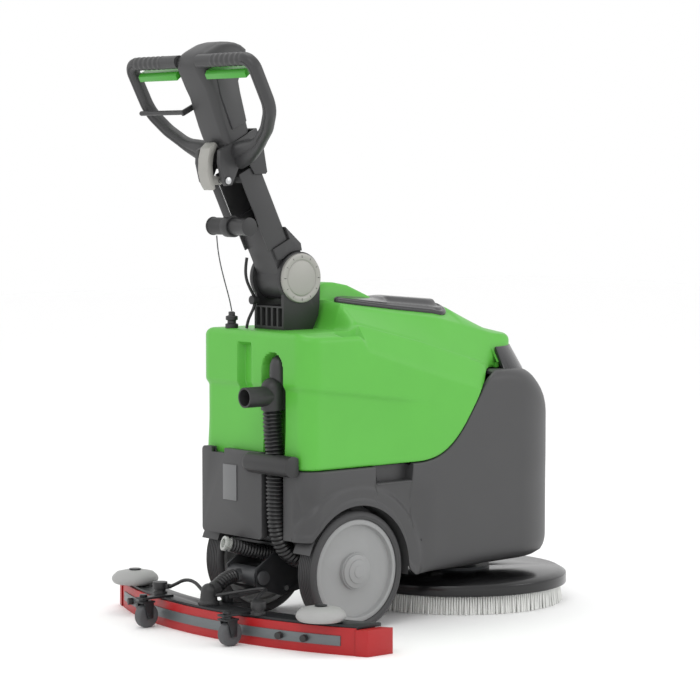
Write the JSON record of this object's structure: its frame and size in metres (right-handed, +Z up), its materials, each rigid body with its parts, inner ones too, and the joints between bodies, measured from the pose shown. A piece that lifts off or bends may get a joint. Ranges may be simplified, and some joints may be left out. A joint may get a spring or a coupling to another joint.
{
  "type": "floor scrubber machine",
  "caption": "Walk-behind floor scrubber with round brush deck, recovery tank, folding column, two-handed head and curved squeegee on casters.",
  "frame": {"origin": "on the floor, under the middle of the box round the whole machine", "axes": "+X the way the machine drives, +Y its left side, +Z up"},
  "size_m": [1.1162, 0.918, 1.3304],
  "materials": {
    "green_shell": "rotationally moulded polyethylene, fine matt grain",
    "grey_shell": "rotationally moulded polyethylene, fine matt grain",
    "gloss_black": "injection moulded, glossy",
    "black_plastic": "injection moulded nylon, light texture",
    "green_trigger": "injection moulded, satin",
    "silver_plastic": "moulded, metallic silver-grey paint",
    "zinc_steel": "zinc plated steel",
    "silver_caps": "moulded caps, metallic silver-grey paint, on a steel bolt",
    "painted_steel": "black powder coat",
    "strip_steel": "grey painted strip",
    "manifold_grey": "moulded grey plastic with a bright plug",
    "wheel_grey": "moulded light grey nylon",
    "roller_grey": "moulded light grey polymer, non-marking",
    "caster_grey": "cast dark grey rubber, matt",
    "tyre_rubber": "solid grey-black rubber, matt",
    "red_rubber": "gum rubber, satin",
    "hose_black": "corrugated flexible hose",
    "hose_grey": "corrugated flexible hose",
    "nozzle_clear": "translucent moulded polypropylene",
    "cable_black": "smooth cable sheath",
    "deck_black": "moulded cover, satin",
    "brush_plate": "moulded polypropylene brush disc",
    "bristle": "nylon bristles, pale grey",
    "battery_case": "polypropylene case",
    "motor_metal": "painted motor housing"
  },
  "bodies": {
    "chassis": {"lower_body": "grey_shell", "recovery_tank": "green_shell", "front_cover": "gloss_black", "rear_panel": "grey_shell", "hose_bar": "black_plastic", "drain_hose": "hose_black", "drain_elbow": "black_plastic", "solution_hose": "hose_grey", "solution_nozzle": "nozzle_clear", "chassis_frame": "painted_steel", "axle": "zinc_steel", "suction_manifold": "manifold_grey", "batteries": "battery_case", "vacuum_motor": "motor_metal", "brush_motor": "motor_metal", "deck_cover": "deck_black", "column_base": "black_plastic", "pivot_bolt": "silver_caps", "wire_guide": "black_plastic", "lift_wire": "zinc_steel", "control_cable": "cable_black", "arm_pin": "zinc_steel", "suction_hose": "hose_black"},
    "lid": {"tank_lid": "gloss_black"},
    "brush": {"brush_block": "brush_plate", "brush_bristles": "bristle"},
    "column": {"column_foot": "black_plastic", "column_channel": "black_plastic", "drum_bracket": "black_plastic"},
    "lift_drum": {"lift_drum": "black_plastic"},
    "head": {"head_cowl": "black_plastic", "head_clevis": "black_plastic", "head_pin": "zinc_steel", "handle_loop_right": "black_plastic", "handle_loop_left": "black_plastic"},
    "tilt_lever": {"tilt_lever": "silver_plastic"},
    "flow_lever": {"flow_lever": "black_plastic"},
    "trigger_right": {"trigger_right": "green_trigger"},
    "trigger_left": {"trigger_left": "green_trigger"},
    "squeegee_arm": {"squeegee_arm": "painted_steel"},
    "squeegee": {"squeegee_plate": "painted_steel", "rubber_blades": "red_rubber", "blade_strip": "strip_steel", "end_caps": "red_rubber", "strip_knobs": "black_plastic", "mount_knobs": "black_plastic", "suction_elbow": "black_plastic", "knob_tethers": "cable_black"},
    "wheel_right": {"tyre_right": "tyre_rubber", "rim_right": "wheel_grey", "hub_cap_right": "wheel_grey"},
    "caster_fork_right": {"caster_fork_right": "zinc_steel"},
    "caster_wheel_right": {"caster_wheel_right": "caster_grey"},
    "bumper_roller_right": {"bumper_roller_right": "roller_grey"},
    "wheel_left": {"tyre_left": "tyre_rubber", "rim_left": "wheel_grey", "hub_cap_left": "wheel_grey"},
    "caster_fork_left": {"caster_fork_left": "zinc_steel"},
    "caster_wheel_left": {"caster_wheel_left": "caster_grey"},
    "bumper_roller_left": {"bumper_roller_left": "roller_grey"}
  },
  "joints": [
    {"name": "lid_hinge", "type": "hinge", "parent": "chassis", "child": "lid", "pos_m": [-0.16165, 0, 0.75638], "axis": [0, -1, 0], "range_deg": [0, 75]},
    {"name": "brush_spin", "type": "hinge", "parent": "chassis", "child": "brush", "pos_m": [0.29315, 0, 0.06], "axis": [0, 0, 1], "continuous": true},
    {"name": "column_fold", "type": "hinge", "parent": "chassis", "child": "column", "pos_m": [-0.24665, 0, 0.8], "axis": [0, 1, 0], "range_deg": [0, 45]},
    {"name": "drum_twist", "type": "hinge", "parent": "column", "child": "lift_drum", "pos_m": [-0.40259, 0, 0.91898], "axis": [0, -1, 0], "range_deg": [0, 91]},
    {"name": "head_tilt", "type": "hinge", "parent": "column", "child": "head", "pos_m": [-0.44665, 0, 1.022], "axis": [0, -1, 0], "range_deg": [-5, 15]},
    {"name": "tilt_lever_pull", "type": "hinge", "parent": "head", "child": "tilt_lever", "pos_m": [-0.44665, 0, 1.022], "axis": [0, -1, 0], "range_deg": [0, 20], "stiffness_Nm_per_rad": 1.5, "springref_deg": -17.19},
    {"name": "flow_lever_turn", "type": "hinge", "parent": "head", "child": "flow_lever", "pos_m": [-0.46447, 0, 1.18913], "axis": [0, -1, 0], "range_deg": [-15, 15]},
    {"name": "trigger_right_squeeze", "type": "hinge", "parent": "head", "child": "trigger_right", "pos_m": [-0.48611, 0, 1.27125], "axis": [0, 1, 0], "range_deg": [0, 10], "stiffness_Nm_per_rad": 1, "springref_deg": -14.32},
    {"name": "trigger_left_squeeze", "type": "hinge", "parent": "head", "child": "trigger_left", "pos_m": [-0.48611, 0, 1.27125], "axis": [0, 1, 0], "range_deg": [0, 10], "stiffness_Nm_per_rad": 1, "springref_deg": -14.32},
    {"name": "squeegee_lift", "type": "hinge", "parent": "chassis", "child": "squeegee_arm", "pos_m": [-0.28965, 0, 0.092], "axis": [0, 1, 0], "range_deg": [0, 8], "deforming": ["suction_hose"]},
    {"name": "squeegee_swing", "type": "hinge", "parent": "squeegee_arm", "child": "squeegee", "pos_m": [-0.41665, 0, 0.075], "axis": [0, 0, 1], "range_deg": [-8, 8], "deforming": ["suction_hose"]},
    {"name": "wheel_right_roll", "type": "hinge", "parent": "chassis", "child": "wheel_right", "pos_m": [-0.19465, -0.1699, 0.1365], "axis": [0, 1, 0], "continuous": true},
    {"name": "caster_right_swivel", "type": "hinge", "parent": "squeegee", "child": "caster_fork_right", "pos_m": [-0.53865, -0.156, 0.066], "axis": [0, 0, 1], "continuous": true},
    {"name": "caster_right_roll", "type": "hinge", "parent": "caster_fork_right", "child": "caster_wheel_right", "pos_m": [-0.53065, -0.156, 0.0275], "axis": [0, 1, 0], "continuous": true},
    {"name": "bumper_roller_right_spin", "type": "hinge", "parent": "squeegee", "child": "bumper_roller_right", "pos_m": [-0.42635, -0.345, 0.084], "axis": [0, 0, 1], "continuous": true},
    {"name": "wheel_left_roll", "type": "hinge", "parent": "chassis", "child": "wheel_left", "pos_m": [-0.19465, 0.1699, 0.1365], "axis": [0, 1, 0], "continuous": true},
    {"name": "caster_left_swivel", "type": "hinge", "parent": "squeegee", "child": "caster_fork_left", "pos_m": [-0.53865, 0.156, 0.066], "axis": [0, 0, 1], "continuous": true},
    {"name": "caster_left_roll", "type": "hinge", "parent": "caster_fork_left", "child": "caster_wheel_left", "pos_m": [-0.53065, 0.156, 0.0275], "axis": [0, 1, 0], "continuous": true},
    {"name": "bumper_roller_left_spin", "type": "hinge", "parent": "squeegee", "child": "bumper_roller_left", "pos_m": [-0.42635, 0.345, 0.084], "axis": [0, 0, 1], "continuous": true}
  ],
  "couplings": [
    {"joint": "drum_twist", "follows": "squeegee_lift", "ratio": 11.25}
  ]
}
